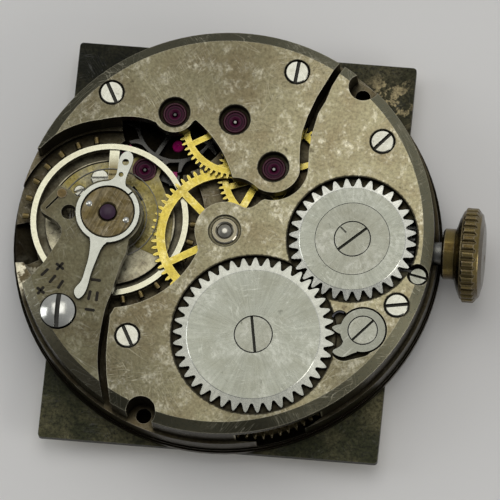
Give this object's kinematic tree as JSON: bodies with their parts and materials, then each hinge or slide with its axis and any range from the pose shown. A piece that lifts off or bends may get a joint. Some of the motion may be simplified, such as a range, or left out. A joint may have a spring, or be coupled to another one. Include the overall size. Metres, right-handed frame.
{
  "type": "watch movement",
  "caption": "Round hand-wound lever watch movement seen on its bridges, with keyless stem and crown, on a rectangular dial.",
  "frame": {"origin": "on the centre wheel's axis, at the face of the main plate that the dial lies on", "axes": "+Z out of the bridges, away from the dial; +X along the stem to the crown; +Y completes a right-handed frame, towards the escape wheel's half"},
  "size_m": [0.0264, 0.024, 0.0056],
  "materials": {
    "nickel": "frosted nickel plating, worn",
    "gilt": "old gilt plating",
    "dial_back": "dark stained brass",
    "winding_steel": "sunray-brushed steel",
    "polished_steel": "polished steel",
    "plain_steel": "plain steel",
    "spring_steel": "blued spring steel",
    "brass": "polished brass",
    "balance_alloy": "pale polished balance alloy",
    "bronze": "stained bronze",
    "ruby": "polished synthetic ruby",
    "crown_metal": "worn gold-coloured metal"
  },
  "bodies": {
    "plate": {"main_plate": "nickel", "dial": "dial_back", "dial_screws": "polished_steel", "barrel_bridge": "nickel", "train_bridge": "nickel", "balance_cock": "nickel", "pallet_cock": "gilt", "bridge_screws": "polished_steel", "cock_screw": "polished_steel", "pallet_cock_screws": "polished_steel", "train_jewels": "ruby", "lower_jewels": "ruby", "balance_jewels": "ruby", "cap_jewel": "ruby", "centre_bush": "gilt", "end_piece": "bronze", "end_piece_screws": "polished_steel", "hairspring_stud": "polished_steel", "hairspring": "spring_steel", "crown_wheel_core": "winding_steel", "crown_wheel_screw": "polished_steel", "click_screw": "polished_steel", "click_spring": "spring_steel", "setting_lever_spring": "plain_steel", "yoke_spring": "spring_steel"},
    "fourth": {"fourth_wheel": "brass", "fourth_pinion": "plain_steel"},
    "third": {"third_wheel": "brass", "third_pinion": "plain_steel"},
    "centre": {"centre_wheel": "brass", "centre_arbor": "plain_steel", "cannon_pinion": "plain_steel"},
    "barrel": {"barrel": "brass", "barrel_cover": "brass", "mainspring": "spring_steel"},
    "escape": {"escape_wheel": "plain_steel", "escape_pinion": "plain_steel"},
    "minute": {"minute_wheel": "brass"},
    "hour": {"hour_wheel": "brass"},
    "setting": {"setting_wheel": "brass"},
    "winding": {"winding_pinion": "plain_steel"},
    "crown_wheel": {"crown_wheel": "winding_steel"},
    "ratchet": {"ratchet_wheel": "winding_steel", "ratchet_screw": "polished_steel", "barrel_arbor": "plain_steel"},
    "stem": {"stem": "plain_steel", "crown": "crown_metal"},
    "clutch": {"sliding_pinion": "plain_steel"},
    "setting_lever": {"setting_lever": "plain_steel", "setting_lever_screw": "polished_steel"},
    "yoke": {"yoke": "plain_steel"},
    "click": {"click": "plain_steel"},
    "balance": {"balance_wheel": "balance_alloy", "timing_screws": "balance_alloy", "balance_staff": "plain_steel", "roller": "plain_steel", "impulse_jewel": "ruby"},
    "pallets": {"pallet_fork": "plain_steel", "pallet_stones": "ruby"},
    "regulator": {"regulator": "polished_steel"}
  },
  "joints": [
    {"name": "fourth_turn", "type": "hinge", "parent": "plate", "child": "fourth", "pos_m": [0, 0.00648, 0], "axis": [0, 0, 1], "continuous": true},
    {"name": "third_turn", "type": "hinge", "parent": "plate", "child": "third", "pos_m": [0.00239, 0.00388, 0], "axis": [0, 0, 1], "continuous": true},
    {"name": "centre_turn", "type": "hinge", "parent": "plate", "child": "centre", "pos_m": [0, 0, 0], "axis": [0, 0, 1], "continuous": true},
    {"name": "barrel_turn", "type": "hinge", "parent": "plate", "child": "barrel", "pos_m": [0.00212, -0.00589, 0], "axis": [0, 0, 1], "continuous": true},
    {"name": "escape_turn", "type": "hinge", "parent": "plate", "child": "escape", "pos_m": [-0.0034, 0.00668, 0], "axis": [0, 0, 1], "continuous": true},
    {"name": "minute_turn", "type": "hinge", "parent": "plate", "child": "minute", "pos_m": [0.00288, 0, 0], "axis": [0, 0, 1], "continuous": true},
    {"name": "hour_turn", "type": "hinge", "parent": "plate", "child": "hour", "pos_m": [0, 0, 0], "axis": [0, 0, 1], "continuous": true},
    {"name": "setting_turn", "type": "hinge", "parent": "plate", "child": "setting", "pos_m": [0.00624, 0, 0], "axis": [0, 0, 1], "continuous": true},
    {"name": "crown_turn", "type": "hinge", "parent": "plate", "child": "winding", "pos_m": [0.00965, 0, 0.0016], "axis": [1, 0, 0], "continuous": true},
    {"name": "crown_wheel_turn", "type": "hinge", "parent": "plate", "child": "crown_wheel", "pos_m": [0.00714, 0, 0], "axis": [0, 0, 1], "continuous": true},
    {"name": "ratchet_turn", "type": "hinge", "parent": "plate", "child": "ratchet", "pos_m": [0.00212, -0.00589, 0], "axis": [0, 0, 1], "continuous": true},
    {"name": "crown_pull", "type": "slide", "parent": "winding", "child": "stem", "axis": [1, 0, 0], "range_m": [0, 0.00054]},
    {"name": "clutch_shift", "type": "slide", "parent": "winding", "child": "clutch", "axis": [1, 0, 0], "range_m": [-0.0005, 0]},
    {"name": "lever_swing", "type": "hinge", "parent": "plate", "child": "setting_lever", "pos_m": [0.01092, -0.0018, 0], "axis": [0, 0, 1], "range_deg": [-18, 0]},
    {"name": "yoke_swing", "type": "hinge", "parent": "plate", "child": "yoke", "pos_m": [0.0086, 0.0033, 0], "axis": [0, 0, 1], "range_deg": [-9, 0], "deforming": ["yoke_spring"]},
    {"name": "click_rock", "type": "hinge", "parent": "plate", "child": "click", "pos_m": [0.00816, -0.00523, 0], "axis": [0, 0, 1], "range_deg": [-12, 0], "stiffness_Nm_per_rad": 0.000002, "springref_deg": 2.86, "deforming": ["click_spring"]},
    {"name": "balance_swing", "type": "hinge", "parent": "plate", "child": "balance", "pos_m": [-0.00659, 0.00059, 0], "axis": [0, 0, 1], "range_deg": [-270, 270], "stiffness_Nm_per_rad": 0.0000002, "deforming": ["hairspring"]},
    {"name": "pallet_rock", "type": "hinge", "parent": "plate", "child": "pallets", "pos_m": [-0.00492, 0.00377, 0], "axis": [0, 0, 1], "range_deg": [-5.01, 5.01]},
    {"name": "regulator_turn", "type": "hinge", "parent": "plate", "child": "regulator", "pos_m": [-0.00659, 0.00059, 0], "axis": [0, 0, 1], "range_deg": [-18, 18]}
  ],
  "couplings": [
    {"joint": "third_turn", "follows": "fourth_turn", "ratio": -0.13333},
    {"joint": "centre_turn", "follows": "fourth_turn", "ratio": 0.016667},
    {"joint": "barrel_turn", "follows": "fourth_turn", "ratio": -0.0027778},
    {"joint": "escape_turn", "follows": "fourth_turn", "ratio": -10},
    {"joint": "minute_turn", "follows": "fourth_turn", "ratio": -0.0055556},
    {"joint": "hour_turn", "follows": "fourth_turn", "ratio": 0.0013889},
    {"joint": "setting_turn", "follows": "fourth_turn", "ratio": 0.01},
    {"joint": "crown_wheel_turn", "follows": "crown_turn", "ratio": -0.375},
    {"joint": "ratchet_turn", "follows": "crown_turn", "ratio": 0.29268},
    {"joint": "clutch_shift", "follows": "crown_pull", "ratio": -0.9},
    {"joint": "lever_swing", "follows": "crown_pull", "rad_per_m": -539.73},
    {"joint": "yoke_swing", "follows": "crown_pull", "rad_per_m": -270.78},
    {"joint": "pallet_rock", "follows": "balance_swing", "ratio": -0.018519}
  ]
}
